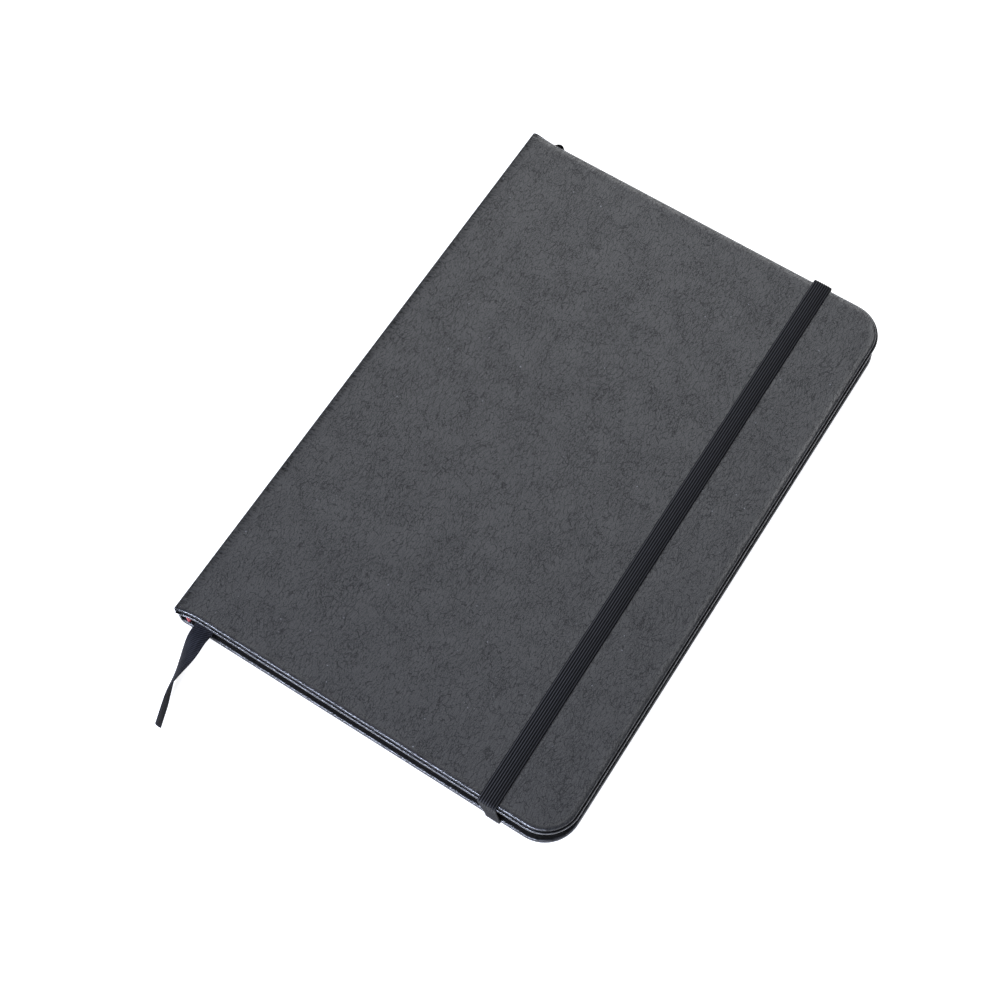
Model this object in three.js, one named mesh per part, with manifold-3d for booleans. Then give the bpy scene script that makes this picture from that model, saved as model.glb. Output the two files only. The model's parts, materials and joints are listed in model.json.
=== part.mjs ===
// A closed hardcover sketchbook bound in padded black leatherette, with an elastic closure and
// a ribbon marker.
// Millimetres, +Z up. The origin is under the middle of the cover, on the face that the book lies on.
// X runs from the spine to the fore edge, Y from the tail to the head.
import * as THREE from "three";
import { mergeVertices } from "three/addons/utils/BufferGeometryUtils.js";
import Module from "manifold-3d";

const wasm = await Module();
wasm.setup();

// The whole book
const WIDTH = 141;
const HEIGHT = 210;
const THICKNESS = 14;
const AIR = 0.03; // kept between layers that lie on each other
const GAP = 0.05; // kept between leaves that turn
const ARC_STEPS = 8; // straight segments in a quarter turn
const ROUND_STEPS = 12; // and round a thread or a bead
const CUT_MARGIN = 5; // how far a cutting solid reaches past what it cuts

// The cover, from the outside in
const LEATHER = 0.9;
const BOARD = 1.5;
const TURN_IN = 0.3; // leather folded over the boards' edges and pressed thin
const PASTEDOWN = 0.2;
const TURN_IN_WIDTH = 12;
const COVER_CORNER = 12;
const EDGE_ROUND_ACROSS = 1.4;
const EDGE_ROUND_DOWN = 0.9;
const PASTEDOWN_MARGIN = 3;

// The spine
const SPINE_LEATHER = 0.8;
const SPINE_ROUND = 3.5; // radius where the spine turns under to the back cover
const SPINE_TOP = 10.65; // the front cover flexes above this height
const SPINE_JOIN = 4; // from here on the back cover's own leather goes on
const HEADCAP = 0.4; // the spine's leather turned in at the head and tail
const HEADCAP_LENGTH = 10;
const HEADCAP_INSET = 0.5; // how far the fold lies in from the spine's end
const SPINE_TOP_MARGIN = 0.3; // how far the layers inside stop short of the spine's top
const LINER = 0.4;
const MULL = 0.2;
const MULL_FLAP = 22;
const THREAD = 0.4;
const THREAD_STATIONS = [-78, -30, 30, 78];

// The text block
const BLOCK_SPINE = 2.45; // distance from the spine's outer face
const BLOCK_FORE = 138.5;
const BLOCK_HALF_HEIGHT = 102.8;
const BLOCK_ROOM = 0.2; // left over the block so that the cover closes on it
const PAGE_CORNER = 9.5;
const FLYLEAF = 0.15;
const SIGNATURES = 8;
const RIBBON_SLOT = 0.4; // room for the ribbon between two signatures
const RIBBON_ABOVE = 5; // the ribbon lies on top of this signature, counted from the front
const BEAD_RADIUS = 0.8;
const BAND_TAPE = 8; // length of the tape that carries a head or tail band

// The ribbon marker
const RIBBON_WIDTH = 6.8;
const RIBBON = 0.28;
const RIBBON_START = 6.2; // distance of its near edge from the spine's outer face
const RIBBON_FREE_START = -96;
const RIBBON_LOOP_REACH = 2.8; // how far the slack at the head stands off the pages
const RIBBON_LOOP_BEND = 0.8;
const RIBBON_FALL = [
  // from between the pages at the tail, down to the table and on: distance from the spine, y and z
  [9.4, -108.5, 6.6],
  [9.6, -113, 5.4],
  [9.9, -118.9, 4.2],
  [11, -125.7, 3.6],
  [12.8, -131.2, 3.5],
  [14.8, -137, 3.4],
];
const RIBBON_LEAVES_AT = -104.4; // y where the ribbon starts to fall

// The elastic
const ELASTIC_WIDTH = 6.5;
const ELASTIC = 0.7;
const ELASTIC_CENTRE = 115; // distance from the spine's outer face
const ELASTIC_SLOT = 87; // distance of the holes in the back cover from its middle
const ELASTIC_TAB = 16; // length glued inside the back cover
const ELASTIC_BEND = 0.4;
const ELASTIC_SPLIT_LOW = 1.2; // heights where the stretch over the edge starts and ends
const ELASTIC_SPLIT_HIGH = 13.2;

// Heights in the back cover. The front cover has the same, measured down from the top.
const boardLow = LEATHER + AIR;
const boardHigh = boardLow + BOARD;
const turnInLow = boardHigh + AIR;
const turnInHigh = turnInLow + TURN_IN;
const pastedownLow = turnInHigh + AIR;
const pastedownHigh = pastedownLow + PASTEDOWN;
const back = (low, high) => [low, high];
const front = (low, high) => [THICKNESS - high, THICKNESS - low];

// Heights in the text block, between the two covers' inner faces
const blockLow = pastedownHigh + GAP;
const flyleafTop = THICKNESS - pastedownHigh - BLOCK_ROOM;
const firstSignatureLow = blockLow + FLYLEAF + GAP;
const signatureRoom = flyleafTop - FLYLEAF - GAP - firstSignatureLow - RIBBON_SLOT;
const signaturePitch = signatureRoom / SIGNATURES;
const signatureThickness = signaturePitch - GAP;

const standard = (color, roughness) =>
  new THREE.MeshStandardMaterial({ color, roughness, metalness: 0 });
const leatherette = standard(0x47484b, 0.5);
const greyboard = standard(0x8d877c, 0.95);
const endpaper = standard(0xe9e4d6, 0.9);
const drawingPaper = standard(0xf3efe4, 0.92);
const cloth = standard(0xd8d3c6, 0.95);
const redBand = standard(0xa31f24, 0.6);
const linen = standard(0xe6dfcc, 0.8);
const satin = standard(0x2b2c31, 0.35);
const elasticWeave = standard(0x1d1e20, 0.75);

function solid(geometry) {
  const bare = geometry.clone();
  bare.deleteAttribute("normal");
  bare.deleteAttribute("uv");
  const merged = mergeVertices(bare, 1e-4);
  return new wasm.Manifold(
    new wasm.Mesh({
      numProp: 3,
      vertProperties: merged.attributes.position.array,
      triVerts: new Uint32Array(merged.index.array),
    }),
  );
}

function geometryOf(made) {
  const { vertProperties, triVerts } = made.getMesh();
  const geometry = new THREE.BufferGeometry();
  geometry.setAttribute("position", new THREE.BufferAttribute(vertProperties, 3));
  geometry.setIndex(new THREE.BufferAttribute(triVerts, 1));
  geometry.computeVertexNormals();
  return geometry;
}

// A shape drawn in (y, z), extruded along x.
function alongX(shape, low, high) {
  const geometry = new THREE.ExtrudeGeometry(shape, { depth: high - low, bevelEnabled: false });
  const turn = new THREE.Matrix4().makeBasis(
    new THREE.Vector3(0, 1, 0),
    new THREE.Vector3(0, 0, 1),
    new THREE.Vector3(1, 0, 0),
  );
  return geometry.applyMatrix4(turn).translate(low, 0, 0);
}

// A shape drawn in (x, z), extruded along y.
function alongY(shape, low, high) {
  const options = { depth: high - low, bevelEnabled: false, curveSegments: ARC_STEPS };
  return new THREE.ExtrudeGeometry(shape, options).rotateX(Math.PI / 2).translate(0, high, 0);
}

// A shape drawn in (x, y), between two heights.
function plate(shape, [low, high]) {
  const options = { depth: high - low, bevelEnabled: false, curveSegments: ARC_STEPS };
  return new THREE.ExtrudeGeometry(shape, options).translate(0, 0, low);
}

// The same with its edges rounded over.
function roundedPlate(shape, [low, high]) {
  const options = {
    depth: high - low - 2 * EDGE_ROUND_DOWN,
    bevelThickness: EDGE_ROUND_DOWN,
    bevelSize: EDGE_ROUND_ACROSS,
    bevelOffset: -EDGE_ROUND_ACROSS,
    bevelSegments: 3,
    curveSegments: ARC_STEPS,
  };
  return new THREE.ExtrudeGeometry(shape, options).translate(0, 0, low + EDGE_ROUND_DOWN);
}

function box([x0, x1], [y0, y1], [z0, z1]) {
  const geometry = new THREE.BoxGeometry(x1 - x0, y1 - y0, z1 - z0);
  return geometry.translate((x0 + x1) / 2, (y0 + y1) / 2, (z0 + z1) / 2);
}

// A leaf or board seen from above: square at the spine, rounded at the fore edge.
function leafOutline(spineX, foreX, halfHeight, corner) {
  const shape = new THREE.Shape();
  shape.moveTo(spineX, -halfHeight);
  shape.lineTo(foreX - corner, -halfHeight);
  shape.absarc(foreX - corner, corner - halfHeight, corner, -Math.PI / 2, 0);
  shape.lineTo(foreX, halfHeight - corner);
  shape.absarc(foreX - corner, halfHeight - corner, corner, 0, Math.PI / 2);
  shape.lineTo(spineX, halfHeight);
  shape.closePath();
  return shape;
}

const insetOutline = (spineX, inset) =>
  leafOutline(spineX, WIDTH - inset, HEIGHT / 2 - inset, Math.max(COVER_CORNER - inset, 2));

// The elastic's outside run on the back cover and its way up through the board, seen from the side.
// side is 1 at the head and -1 at the tail.
const legNear = HEIGHT / 2 + AIR;
const legFar = legNear + ELASTIC;
const elasticSpan = [ELASTIC_CENTRE - ELASTIC_WIDTH / 2, ELASTIC_CENTRE + ELASTIC_WIDTH / 2];

function polygon(points) {
  return new THREE.Shape(points.map(([a, b]) => new THREE.Vector2(a, b)));
}

function elasticBackOutline(side, room) {
  const low = AIR - room;
  const high = AIR + ELASTIC + room;
  const tabHigh = turnInHigh + room;
  const tabLow = turnInHigh - ELASTIC - room;
  const slotFar = ELASTIC_SLOT + ELASTIC + room;
  const points = [
    [legFar - ELASTIC_BEND, low],
    [legFar, low + ELASTIC_BEND],
    [legFar, ELASTIC_SPLIT_LOW],
    [legNear - room, ELASTIC_SPLIT_LOW],
    [legNear - room, high],
    [slotFar, high],
    [slotFar, tabHigh],
    [ELASTIC_SLOT - ELASTIC_TAB - room, tabHigh],
    [ELASTIC_SLOT - ELASTIC_TAB - room, tabLow],
    [ELASTIC_SLOT - room, tabLow],
    [ELASTIC_SLOT - room, low],
  ].map(([y, z]) => [side * y, z]);
  return polygon(side > 0 ? points : points.reverse());
}

// The leather and board give way to the elastic by this much room all round.
function elasticChannel(side) {
  const room = AIR;
  const span = [elasticSpan[0] - room, elasticSpan[1] + room];
  return solid(alongX(elasticBackOutline(side, room), ...span));
}

const elasticChannels = elasticChannel(1).add(elasticChannel(-1));

// Leatherette wrapped round a board: a rounded slab that ends flat at cutAt, less the board's pocket
// and the mouth between the turned-in edges.
function wrappedLeather(side, cutAt, pocketStart) {
  const slab = solid(roundedPlate(insetOutline(cutAt - CUT_MARGIN, 0), side(0, turnInHigh)));
  const beyondSpine = box(
    [cutAt - 2 * CUT_MARGIN, cutAt],
    [-HEIGHT, HEIGHT],
    [-CUT_MARGIN, THICKNESS + CUT_MARGIN],
  );
  const pocket = plate(insetOutline(pocketStart, LEATHER), side(LEATHER, turnInLow));
  const mouthHeights = side(turnInLow - AIR, turnInHigh + CUT_MARGIN);
  const mouth = plate(insetOutline(pocketStart, TURN_IN_WIDTH), mouthHeights);
  return slab.subtract(solid(beyondSpine)).subtract(solid(pocket)).subtract(solid(mouth));
}

const leatherBack = () =>
  wrappedLeather(back, SPINE_JOIN, SPINE_JOIN - CUT_MARGIN).subtract(elasticChannels);
const leatherFront = () => wrappedLeather(front, 0, SPINE_LEATHER);

const frontBoard = () =>
  plate(insetOutline(SPINE_LEATHER + AIR, LEATHER + AIR), front(boardLow, boardHigh));
const backBoard = () =>
  solid(plate(insetOutline(SPINE_JOIN + AIR, LEATHER + AIR), back(boardLow, boardHigh)))
    .subtract(elasticChannels);

const pastedown = (side, spineX) =>
  plate(insetOutline(spineX, PASTEDOWN_MARGIN), side(pastedownLow, pastedownHigh));

const innerTop = SPINE_TOP - SPINE_TOP_MARGIN;

// The spine's leather seen from the tail: upright, then round under the back cover.
// Its ends are folded in, which thickens them.
function spineLeather() {
  const inner = SPINE_ROUND - SPINE_LEATHER;
  const shape = new THREE.Shape();
  shape.moveTo(0, SPINE_TOP);
  shape.lineTo(0, SPINE_ROUND);
  shape.absarc(SPINE_ROUND, SPINE_ROUND, SPINE_ROUND, Math.PI, 1.5 * Math.PI);
  shape.lineTo(SPINE_JOIN - AIR, 0);
  shape.lineTo(SPINE_JOIN - AIR, SPINE_LEATHER);
  shape.lineTo(SPINE_ROUND, SPINE_LEATHER);
  shape.absarc(SPINE_ROUND, SPINE_ROUND, inner, 1.5 * Math.PI, Math.PI, true);
  shape.lineTo(SPINE_LEATHER, SPINE_TOP);
  shape.closePath();
  const wall = solid(alongY(shape, -HEIGHT / 2, HEIGHT / 2));
  const capX = [SPINE_LEATHER - AIR, SPINE_LEATHER + HEADCAP];
  const capEnd = HEIGHT / 2 - HEADCAP_INSET;
  const capStart = HEIGHT / 2 - HEADCAP_LENGTH;
  const head = solid(box(capX, [capStart, capEnd], [SPINE_ROUND, innerTop]));
  const tail = solid(box(capX, [-capEnd, -capStart], [SPINE_ROUND, innerTop]));
  return wall.add(head).add(tail);
}

// The flexible card that keeps the spine flat
function spineLiner() {
  const start = SPINE_LEATHER + AIR;
  const halfHeight = HEIGHT / 2 - HEADCAP_LENGTH - GAP;
  return box([start, start + LINER], [-halfHeight, halfHeight], [SPINE_ROUND, innerTop]);
}

// Layers on the block's back, counted in from the pages
const threadX = BLOCK_SPINE - GAP - THREAD / 2;
const mullX = BLOCK_SPINE - 2 * GAP - THREAD;
const sewnTop = flyleafTop - FLYLEAF - signaturePitch - 2 * GAP; // clear of the first signature, which turns

// Open-weave cloth glued to the back of the block, with a flap under the back pastedown
function mull() {
  const flapLow = boardHigh + AIR;
  const shape = polygon([
    [mullX - MULL, flapLow],
    [MULL_FLAP, flapLow],
    [MULL_FLAP, flapLow + MULL],
    [mullX, flapLow + MULL],
    [mullX, sewnTop],
    [mullX - MULL, sewnTop],
  ]);
  const halfHeight = HEIGHT / 2 - 2 * TURN_IN_WIDTH;
  return alongY(shape, -halfHeight, halfHeight);
}

function sewingThread(y) {
  const low = firstSignatureLow + GAP;
  const geometry = new THREE.CylinderGeometry(THREAD / 2, THREAD / 2, sewnTop - low, ROUND_STEPS);
  return geometry.rotateX(Math.PI / 2).translate(threadX, y, (low + sewnTop) / 2);
}

// A bead across the end of the block's back, on a tape glued to the spine
function endBand(side) {
  const low = firstSignatureLow + GAP;
  const beadX = BLOCK_SPINE + BEAD_RADIUS / 2;
  const beadY = BLOCK_HALF_HEIGHT + GAP + BEAD_RADIUS;
  const bead = new THREE.CylinderGeometry(BEAD_RADIUS, BEAD_RADIUS, sewnTop - low, ROUND_STEPS)
    .rotateX(Math.PI / 2)
    .translate(beadX, side * beadY, (low + sewnTop) / 2);
  const tapeY = [side * beadY, side * (beadY - BAND_TAPE)].sort((a, b) => a - b);
  const tape = box([BLOCK_SPINE - GAP - THREAD, BLOCK_SPINE - GAP], tapeY, [low, sewnTop]);
  return solid(bead).add(solid(tape));
}

const leaf = (low, high) =>
  plate(leafOutline(BLOCK_SPINE, BLOCK_FORE, BLOCK_HALF_HEIGHT, PAGE_CORNER), [low, high]);

// A gathering of folded sheets: its fold is round, its other edges are cut.
function signature(low) {
  const high = low + signatureThickness;
  const radius = signatureThickness / 2;
  const folded = new THREE.Shape();
  folded.moveTo(BLOCK_SPINE + radius, low);
  folded.lineTo(WIDTH, low);
  folded.lineTo(WIDTH, high);
  folded.lineTo(BLOCK_SPINE + radius, high);
  folded.absarc(BLOCK_SPINE + radius, low + radius, radius, Math.PI / 2, 1.5 * Math.PI);
  return solid(leaf(low, high)).intersect(solid(alongY(folded, -HEIGHT / 2, HEIGHT / 2)));
}

// Signatures are counted from the front cover, so the first is the highest.
function signatureLow(number) {
  const fromBottom = SIGNATURES - number;
  const aboveRibbon = number < RIBBON_ABOVE ? RIBBON_SLOT : 0;
  return firstSignatureLow + fromBottom * signaturePitch + aboveRibbon;
}

const ribbonSpan = [RIBBON_START, RIBBON_START + RIBBON_WIDTH];
const ribbonLow = signatureLow(RIBBON_ABOVE) + signatureThickness + (RIBBON_SLOT + GAP - RIBBON) / 2;
const ribbonHigh = ribbonLow + RIBBON;

const ribbonInner = () =>
  box(ribbonSpan, [RIBBON_FREE_START + GAP, BLOCK_HALF_HEIGHT], [ribbonLow, ribbonHigh]);

// The slack of the ribbon where it comes over the head of the pages, seen from the side
function ribbonHeadLoop() {
  const start = BLOCK_HALF_HEIGHT + GAP;
  const far = start + RIBBON_LOOP_REACH;
  const near = far - RIBBON;
  const top = sewnTop;
  const bend = RIBBON_LOOP_BEND;
  const innerBend = bend - RIBBON / 2;
  const shape = polygon([
    [start, ribbonLow],
    [far - bend, ribbonLow],
    [far, ribbonLow + bend],
    [far, top - bend],
    [far - bend, top],
    [start, top],
    [start, top - RIBBON],
    [near - innerBend, top - RIBBON],
    [near, top - RIBBON - innerBend],
    [near, ribbonHigh + innerBend],
    [near - innerBend, ribbonHigh],
    [start, ribbonHigh],
  ]);
  return alongX(shape, ...ribbonSpan);
}

// The ribbon's free end, along its middle line
function ribbonTail() {
  const midX = RIBBON_START + RIBBON_WIDTH / 2;
  const midZ = (ribbonLow + ribbonHigh) / 2;
  const stations = [[midX, RIBBON_FREE_START, midZ], [midX, RIBBON_LEAVES_AT, midZ], ...RIBBON_FALL];
  const route = new THREE.CatmullRomCurve3(stations.map(([x, y, z]) => new THREE.Vector3(x, y, z)));
  const section = new THREE.Shape();
  section.absellipse(0, 0, RIBBON_WIDTH / 2, RIBBON / 2, 0, 2 * Math.PI);
  const options = { steps: 3 * ARC_STEPS, curveSegments: ARC_STEPS / 2, extrudePath: route };
  return new THREE.ExtrudeGeometry(section, options);
}

const elasticBack = (side) => alongX(elasticBackOutline(side, 0), ...elasticSpan);

function elasticLeg(side) {
  const span = [side * legNear, side * legFar].sort((a, b) => a - b);
  return box(elasticSpan, span, [ELASTIC_SPLIT_LOW + AIR, ELASTIC_SPLIT_HIGH - AIR]);
}

// The strand across the front cover, with its ends turned down over the head and the tail
function elasticFrontStrand() {
  const low = THICKNESS + AIR;
  const high = low + ELASTIC;
  const shape = polygon([
    [-legFar, ELASTIC_SPLIT_HIGH],
    [-legNear, ELASTIC_SPLIT_HIGH],
    [-legNear, low],
    [legNear, low],
    [legNear, ELASTIC_SPLIT_HIGH],
    [legFar, ELASTIC_SPLIT_HIGH],
    [legFar, high - ELASTIC_BEND],
    [legFar - ELASTIC_BEND, high],
    [ELASTIC_BEND - legFar, high],
    [-legFar, high - ELASTIC_BEND],
  ]);
  return alongX(shape, ...elasticSpan);
}

const book = new THREE.Group();
book.position.x = -WIDTH / 2;

function addPiece(name, shape, material) {
  const geometry = shape.isBufferGeometry ? shape : geometryOf(shape);
  const mesh = new THREE.Mesh(geometry, material);
  mesh.name = name;
  book.add(mesh);
}

addPiece("cover_leather_front", leatherFront(), leatherette);
addPiece("cover_leather_back", leatherBack(), leatherette);
addPiece("spine_leather", spineLeather(), leatherette);
addPiece("front_board", frontBoard(), greyboard);
addPiece("back_board", backBoard(), greyboard);
addPiece("front_pastedown", pastedown(front, PASTEDOWN_MARGIN), endpaper);
addPiece("back_pastedown", pastedown(back, SPINE_JOIN), endpaper);
addPiece("spine_liner", spineLiner(), greyboard);
addPiece("mull", mull(), cloth);
addPiece("headband", endBand(1), redBand);
addPiece("tailband", endBand(-1), redBand);
THREAD_STATIONS.forEach((y, i) => addPiece(`sewing_thread_${i + 1}`, sewingThread(y), linen));

addPiece("front_flyleaf", leaf(flyleafTop - FLYLEAF, flyleafTop), endpaper);
for (let number = 1; number <= SIGNATURES; number += 1) {
  addPiece(`signature_${number}`, signature(signatureLow(number)), drawingPaper);
}
addPiece("back_flyleaf", leaf(blockLow, blockLow + FLYLEAF), endpaper);

addPiece("ribbon_inner", ribbonInner(), satin);
addPiece("ribbon_head_loop", ribbonHeadLoop(), satin);
addPiece("ribbon_tail", ribbonTail(), satin);

addPiece("elastic_front_strand", elasticFrontStrand(), elasticWeave);
addPiece("elastic_head_leg", elasticLeg(1), elasticWeave);
addPiece("elastic_tail_leg", elasticLeg(-1), elasticWeave);
addPiece("elastic_back_head", elasticBack(1), elasticWeave);
addPiece("elastic_back_tail", elasticBack(-1), elasticWeave);

const sketchbook = new THREE.Group();
sketchbook.add(book);
export default sketchbook;
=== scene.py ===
"""The looks of a hardcover sketchbook in padded black leatherette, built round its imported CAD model.

Lengths are written in millimetres and turned to metres by MM. x is measured from the spine's outer face,
y from the middle of the cover towards the head, and z from the face that the book lies on.
"""

import json
import math

import bpy
import numpy as np
from mathutils import Matrix, Vector


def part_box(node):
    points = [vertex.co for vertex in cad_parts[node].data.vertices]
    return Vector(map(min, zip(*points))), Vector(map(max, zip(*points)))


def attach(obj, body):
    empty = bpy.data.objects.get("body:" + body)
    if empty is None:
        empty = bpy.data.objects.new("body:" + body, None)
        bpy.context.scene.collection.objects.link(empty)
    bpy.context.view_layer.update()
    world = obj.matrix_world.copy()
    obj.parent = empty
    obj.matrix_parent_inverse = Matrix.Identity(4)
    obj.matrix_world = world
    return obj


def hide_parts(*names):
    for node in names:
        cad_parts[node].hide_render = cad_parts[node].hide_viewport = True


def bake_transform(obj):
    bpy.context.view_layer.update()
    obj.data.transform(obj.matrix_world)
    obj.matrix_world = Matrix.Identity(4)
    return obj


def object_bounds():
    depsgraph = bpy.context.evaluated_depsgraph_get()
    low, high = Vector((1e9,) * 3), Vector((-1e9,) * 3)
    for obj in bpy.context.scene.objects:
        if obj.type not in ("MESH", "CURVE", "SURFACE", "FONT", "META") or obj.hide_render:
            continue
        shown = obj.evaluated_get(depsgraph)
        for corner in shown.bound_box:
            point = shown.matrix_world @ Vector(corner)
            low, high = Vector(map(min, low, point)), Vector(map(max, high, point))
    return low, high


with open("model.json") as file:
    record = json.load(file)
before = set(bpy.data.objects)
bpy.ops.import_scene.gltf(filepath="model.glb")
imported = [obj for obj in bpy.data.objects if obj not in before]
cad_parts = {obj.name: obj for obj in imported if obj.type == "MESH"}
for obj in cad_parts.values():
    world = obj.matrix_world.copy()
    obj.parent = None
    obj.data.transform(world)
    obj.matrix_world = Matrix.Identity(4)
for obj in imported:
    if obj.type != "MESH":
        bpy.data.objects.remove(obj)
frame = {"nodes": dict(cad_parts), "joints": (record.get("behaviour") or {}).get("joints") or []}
cad_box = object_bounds()

MM = 0.001
SEED = 7
FLAT_SIZE = 400  # length of sheet across a whole UV map

# The cover's, the elastic's and the ribbon's places come from the CAD model
front_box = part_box("cover_leather_front")
strand_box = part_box("elastic_front_strand")
inner_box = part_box("ribbon_inner")
SPINE_X = front_box[0].x / MM
WIDTH = (front_box[1].x - front_box[0].x) / MM
HALF_HEIGHT = front_box[1].y / MM
THICKNESS = front_box[1].z / MM
COVER_DEPTH = (front_box[1].z - front_box[0].z) / MM
HINGE_Z = frame["joints"][0]["pos_m"][2] / MM

# The edges of the covers, as how far a rounding reaches across the cover and how far down
CORNER = 12  # radius of the cover's fore corners
PADDING_ACROSS = 0.9
PADDING_DOWN = 0.8
GROOVE = 0.25  # height of the crease under the padding
BOARD_ACROSS = 0.7  # the board's edge stands out under the padding
BOARD_DOWN = 0.6
INNER_ROUND = 1.05
TURN_IN = 13
TURN_IN_RINGS = 9  # the first rings of the sheet, which lie under the board
CORNER_STEPS = 14
FORE_STEPS = 44

# The pleats of the turned-in leather at the round corners
PLEAT = 0.16
PLEATS = 11
PLEATS_RISE = (0.6, 3)  # distances from the edge over which they rise
PLEATS_FALL = (10, TURN_IN)  # and die out

# The spine
SPINE_TOP_ROUND = 0.9
SPINE_LOW_ROUND = 3.5
SPINE_LEATHER = 0.8
SPINE_SEAM = 0.3  # length of sheet between a cover's last column and the spine's first
SPINE_BLEND_TOP = 1.6  # length of sheet over which the front cover's edge turns into the spine's
SPINE_BLEND_LOW = 2.5  # and the back cover's
DIP_FADE = 2.5  # length of sheet over which the dip and the flare die out down the spine
JOINT_DIP = 0.75  # how far the leather falls away at the spine
JOINT_REACH = 5
CORNER_FLARE = 1.1  # how far the fold at the spine's tail stands out past the boards
HEAD_FLARE = 0.7  # share of it at the head
FLARE_REACH = 9
FLARE_DEPTH = 12

# The elastic
ELASTIC_X = (strand_box[0].x + strand_box[1].x) / 2 / MM - SPINE_X
ELASTIC_WIDTH = (strand_box[1].x - strand_box[0].x) / MM
ELASTIC = 0.7
ELASTIC_RIBS = 8
ELASTIC_THREAD = 0.5  # from one fine thread to the next
ELASTIC_SLOT = 87.35  # distance of the holes in the back cover from its middle
ELASTIC_TAB_END = 71
ELASTIC_LEAN = 2.1  # how far the band is pulled towards the fore edge where it turns under the tail
ELASTIC_SKEW = 1.0  # how much nearer the fore edge the band lies at the tail than at the head
ELASTIC_GATHER = 0.2  # share of its width that it loses there
ELASTIC_LOOSE = 0.03  # air between the legs and the covers' edges
ELASTIC_SUNK = 0.04  # how far the band presses into the padding
CHANNEL = 0.73  # depth of the band's channel in the back cover
CHANNEL_SIDE = 0.6

# The ribbon: out of the pages at the tail, down, and along the table on its edge; and its slack at the head
RIBBON_WIDTH = 6.8
RIBBON = 0.24
RIBBON_CUP = 0.9  # how far the free end is bowed across
RIBBON_TWILL = 0.8  # from one rib of the twill to the next
RIBBON_X = (inner_box[0].x + inner_box[1].x) / 2 / MM - SPINE_X
RIBBON_Z = (inner_box[0].z + inner_box[1].z) / 2 / MM
RIBBON_TURN = 91  # degrees that the free end turns
RIBBON_TURNS_FROM = 103  # distances from the middle of the book
RIBBON_TURNS_TO = 131
RIBBON_ROUTE = [
    (RIBBON_X, -96, RIBBON_Z),
    (RIBBON_X, -104.4, RIBBON_Z),
    (9.4, -108.5, 6.6),
    (9.6, -113, 5.4),
    (9.9, -118.9, 4.2),
    (11, -125.7, 3.6),
    (12.8, -131.2, 3.5),
    (14.8, -137, 3.4),
]
RIBBON_LOOP = [
    (6.6, 99, 9.0),
    (7.6, 103.2, 9.6),
    (8.8, 105.6, 10.4),
    (10.6, 106.6, 10.6),
    (12.3, 105.6, 9.8),
    (12.2, 104.2, 8.2),
    (11, 102.6, RIBBON_Z),
    (RIBBON_X, 99, RIBBON_Z),
]
RIBBON_LOOP_SQUEEZE = 0.4  # share of its width that the ribbon keeps in the loop

# The text block
SIGNATURES = 8
LEAVES = 6  # in one signature
LEAF_CORNER = 9.5
LEAF_GAP = 0.01
LEAF_TRIM = 0.12  # the most that a leaf is cut short at the fore edge
LEAF_TRIM_SIDE = 0.06
THREADS = 4
BEAD_RADIUS = 0.62
BEAD_PITCH = 0.36  # of the silk wound round the head and tail bands
TAPE_THICKNESS = 0.35  # of the tape that carries a band
TAPE_LENGTH = 8

# Colours
LEATHER_COLOUR = (0.0337, 0.0336, 0.0344, 1)
LEATHER_SPECULAR = 0.72
# colour of the glints painted on the leather
LEATHER_GLINT = (0.6, 0.62, 0.68, 1)
ELASTIC_COLOUR = (0.0145, 0.0146, 0.016, 1)
RIBBON_COLOUR = (0.02, 0.0207, 0.026, 1)

# The studio
FLOOR_REACH = 40  # metres
FLOOR_GAP = 0.0001  # metres under the book
FLOOR_GLOW = 0.85
WORLD_COLOUR = (0.93, 0.96, 1.0, 1)
WORLD_STRENGTH = 0.08
# Name, azimuth and elevation in degrees, distance and size in metres, watts, colour.
# Azimuth 0 is towards the head, 90 towards the fore edge.
SOFTBOXES = [
    ("overhead", -28, 52, 1.6, (1.2, 1.2), 15.5, (0.97, 0.98, 0.99)),
    ("tail_side", 186, 23, 1.4, (0.9, 0.16), 36, (0.7, 0.77, 1.0)),
    ("head_side", -4, 17, 1.5, (0.9, 0.25), 5.5, (0.85, 0.9, 1.0)),
]
CAMERA_PLACE = (0.12187, -0.21415, 0.54365)
CAMERA_RIGHT = (0.84202, 0.53943, -0.00295)
CAMERA_FORWARD = (-0.21844, 0.33596, -0.91620)
CAMERA_LENS = 65.24
SENSOR_WIDTH = 36


def smoothstep(low, high, value):
    t = np.clip((value - low) / (high - low), 0, 1)
    return t * t * (3 - 2 * t)


# ------------------------------------------------------------------------------------------------- meshes


def mesh_object(name, points, faces, flat=None, smooth=True):
    """A mesh from points in millimetres. flat gives each point's place on the flat sheet, as a UV map."""
    points = np.asarray(points, float) + (SPINE_X, 0, 0)
    mesh = bpy.data.meshes.new(name)
    mesh.from_pydata((points * MM).tolist(), [], faces)
    if flat is not None:
        layer = mesh.uv_layers.new(name="flat")
        corners = np.empty(len(mesh.loops), int)
        mesh.loops.foreach_get("vertex_index", corners)
        layer.data.foreach_set("uv", np.asarray(flat, float)[corners].ravel())
    if smooth:
        mesh.shade_smooth()
    return linked(name, mesh)


def linked(name, data):
    """A new object for data, in the scene."""
    made = bpy.data.objects.new(name, data)
    bpy.context.scene.collection.objects.link(made)
    return made


def ring_faces(rows, columns):
    """Quads between rows of points, each row closed on itself."""
    faces = []
    for r in range(rows - 1):
        for c in range(columns):
            d = (c + 1) % columns
            faces.append((r * columns + c, r * columns + d, (r + 1) * columns + d, (r + 1) * columns + c))
    return faces


def end_faces(rows, columns):
    """The two faces that close a tube made by ring_faces."""
    return [tuple(range(columns))[::-1], tuple((rows - 1) * columns + c for c in range(columns))]


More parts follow.
